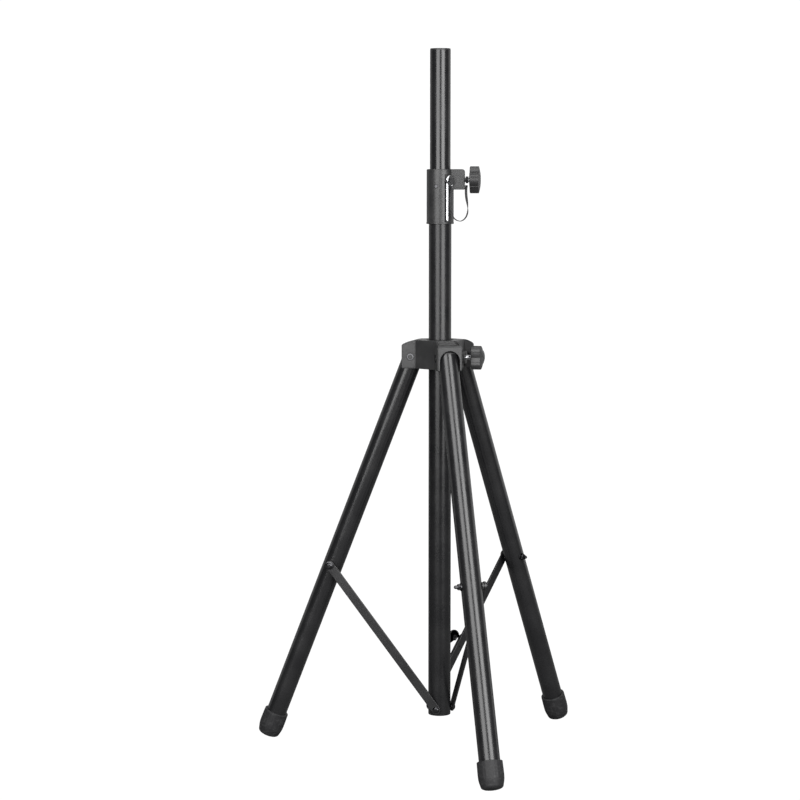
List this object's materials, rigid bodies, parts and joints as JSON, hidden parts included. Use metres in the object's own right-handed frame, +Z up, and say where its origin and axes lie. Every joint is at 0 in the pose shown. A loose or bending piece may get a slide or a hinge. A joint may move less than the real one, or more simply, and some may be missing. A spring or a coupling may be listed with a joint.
{
  "type": "loudspeaker tripod stand",
  "caption": "Folding tripod stand for a loudspeaker, with a telescoping pole, a clamp collar with a locking pin on a lanyard, and tube legs spread by flat braces.",
  "frame": {"origin": "on the floor at the middle of the standing footprint's box; the mast's axis is at x = 0, y = 0.077", "axes": "+Z up along the mast; the front leg points along -Y, and the other two legs lie at 30 and 150 degrees from +X"},
  "size_m": [0.573, 0.5018, 1.199],
  "materials": {
    "powder_coat": "semi-gloss black powder coat",
    "moulded_plastic": "fine grain, satin",
    "knob_plastic": "fine grain, satin",
    "nylon": "smooth satin",
    "foot_rubber": "matte",
    "strap": "woven",
    "pin_chrome": "polished",
    "zinc_steel": "bright zinc plate",
    "black_steel": "black oxide",
    "insert_brass": "turned"
  },
  "bodies": {
    "column": {"outer_tube": "powder_coat", "column_end_cap": "moulded_plastic", "brace_anchor_screws": "black_steel", "brace_anchor_washers": "black_steel", "top_collar": "moulded_plastic", "collar_bush": "nylon", "collar_nut": "insert_brass", "collar_screw": "black_steel", "pin_lanyard": "strap", "lanyard_eye_knob": "strap"},
    "mast": {"inner_pole": "powder_coat", "pole_guide": "nylon", "pole_top_plug": "moulded_plastic"},
    "top_pad": {"pole_pad": "nylon"},
    "top_knob": {"pole_knob": "knob_plastic", "pole_knob_screw": "zinc_steel"},
    "lock_pin": {"lock_pin": "pin_chrome", "lanyard_eye_pin": "strap"},
    "hub": {"hub_body": "moulded_plastic", "hub_bush": "nylon", "hub_nut": "insert_brass", "leg_pivot_bolts": "black_steel", "leg_pivot_nuts": "black_steel"},
    "hub_pad": {"hub_pad": "nylon"},
    "hub_knob": {"hub_knob": "knob_plastic", "hub_knob_screw": "zinc_steel"},
    "leg_front": {"leg_tube_front": "powder_coat", "leg_plug_front": "moulded_plastic", "foot_front": "foot_rubber", "brace_bolt_front": "black_steel", "brace_nut_front": "black_steel", "brace_spacer_front": "moulded_plastic"},
    "brace_front": {"brace_front": "powder_coat"},
    "leg_right": {"leg_tube_right": "powder_coat", "leg_plug_right": "moulded_plastic", "foot_right": "foot_rubber", "brace_bolt_right": "black_steel", "brace_nut_right": "black_steel", "brace_spacer_right": "moulded_plastic"},
    "brace_right": {"brace_right": "powder_coat", "brace_stay_plate": "powder_coat", "brace_stay_bolt": "black_steel"},
    "leg_left": {"leg_tube_left": "powder_coat", "leg_plug_left": "moulded_plastic", "foot_left": "foot_rubber", "brace_bolt_left": "black_steel", "brace_nut_left": "black_steel", "brace_spacer_left": "moulded_plastic"},
    "brace_left": {"brace_left": "powder_coat"}
  },
  "joints": [
    {"name": "legs_fold", "type": "hinge", "parent": "column", "child": "brace_front", "pos_m": [0, 0.077, 0.06988], "axis": [-1, 0, 0], "range_deg": [0, 27.7]},
    {"name": "front_leg_turn", "type": "hinge", "parent": "brace_front", "child": "leg_front", "pos_m": [0, -0.11337, 0.31328], "axis": [1, 0, 0], "range_deg": [0, 47.75]},
    {"name": "hub_level", "type": "hinge", "parent": "leg_front", "child": "hub", "pos_m": [0, 0.0303, 0.678], "axis": [-1, 0, 0], "range_deg": [0, 20.05]},
    {"name": "right_leg_turn", "type": "hinge", "parent": "hub", "child": "leg_right", "pos_m": [0.04044, 0.10035, 0.678], "axis": [-0.5, 0.866, 0], "range_deg": [0, 20.05]},
    {"name": "right_brace_turn", "type": "hinge", "parent": "column", "child": "brace_right", "pos_m": [0, 0.077, 0.06988], "axis": [0.5, -0.866, 0], "range_deg": [0, 27.75]},
    {"name": "left_leg_turn", "type": "hinge", "parent": "hub", "child": "leg_left", "pos_m": [-0.04044, 0.10035, 0.678], "axis": [-0.5, -0.866, 0], "range_deg": [0, 20.05]},
    {"name": "left_brace_turn", "type": "hinge", "parent": "column", "child": "brace_left", "pos_m": [0, 0.077, 0.06988], "axis": [0.5, 0.866, 0], "range_deg": [0, 27.75]},
    {"name": "mast_height", "type": "slide", "parent": "column", "child": "mast", "axis": [0, 0, 1], "range_m": [-0.09, 0.58]},
    {"name": "lock_pin_pull", "type": "slide", "parent": "column", "child": "lock_pin", "axis": [0.2588, -0.9659, 0], "range_m": [0, 0.04]},
    {"name": "top_clamp", "type": "slide", "parent": "column", "child": "top_pad", "axis": [0.9455, -0.3256, 0], "range_m": [0, 0.005]},
    {"name": "top_knob_turn", "type": "hinge", "parent": "top_pad", "child": "top_knob", "pos_m": [0.04728, 0.06072, 0.9785], "axis": [0.9455, -0.3256, 0], "range_deg": [0, 1441]},
    {"name": "hub_clamp", "type": "slide", "parent": "hub", "child": "hub_pad", "axis": [0.866, -0.5, 0], "range_m": [0, 0.003]},
    {"name": "hub_knob_turn", "type": "hinge", "parent": "hub_pad", "child": "hub_knob", "pos_m": [0.05196, 0.047, 0.678], "axis": [0.866, -0.5, 0], "range_deg": [0, 865]}
  ],
  "couplings": [
    {"joint": "front_leg_turn", "follows": "legs_fold", "ratio": 1.722},
    {"joint": "hub_level", "follows": "legs_fold", "ratio": 0.72202},
    {"joint": "right_leg_turn", "follows": "legs_fold", "ratio": 0.72202},
    {"joint": "left_leg_turn", "follows": "legs_fold", "ratio": 0.72202},
    {"joint": "right_brace_turn", "follows": "legs_fold", "ratio": 1},
    {"joint": "left_brace_turn", "follows": "legs_fold", "ratio": 1},
    {"joint": "top_knob_turn", "follows": "top_clamp", "rad_per_m": 5026.5},
    {"joint": "hub_knob_turn", "follows": "hub_clamp", "rad_per_m": 5026.5}
  ]
}
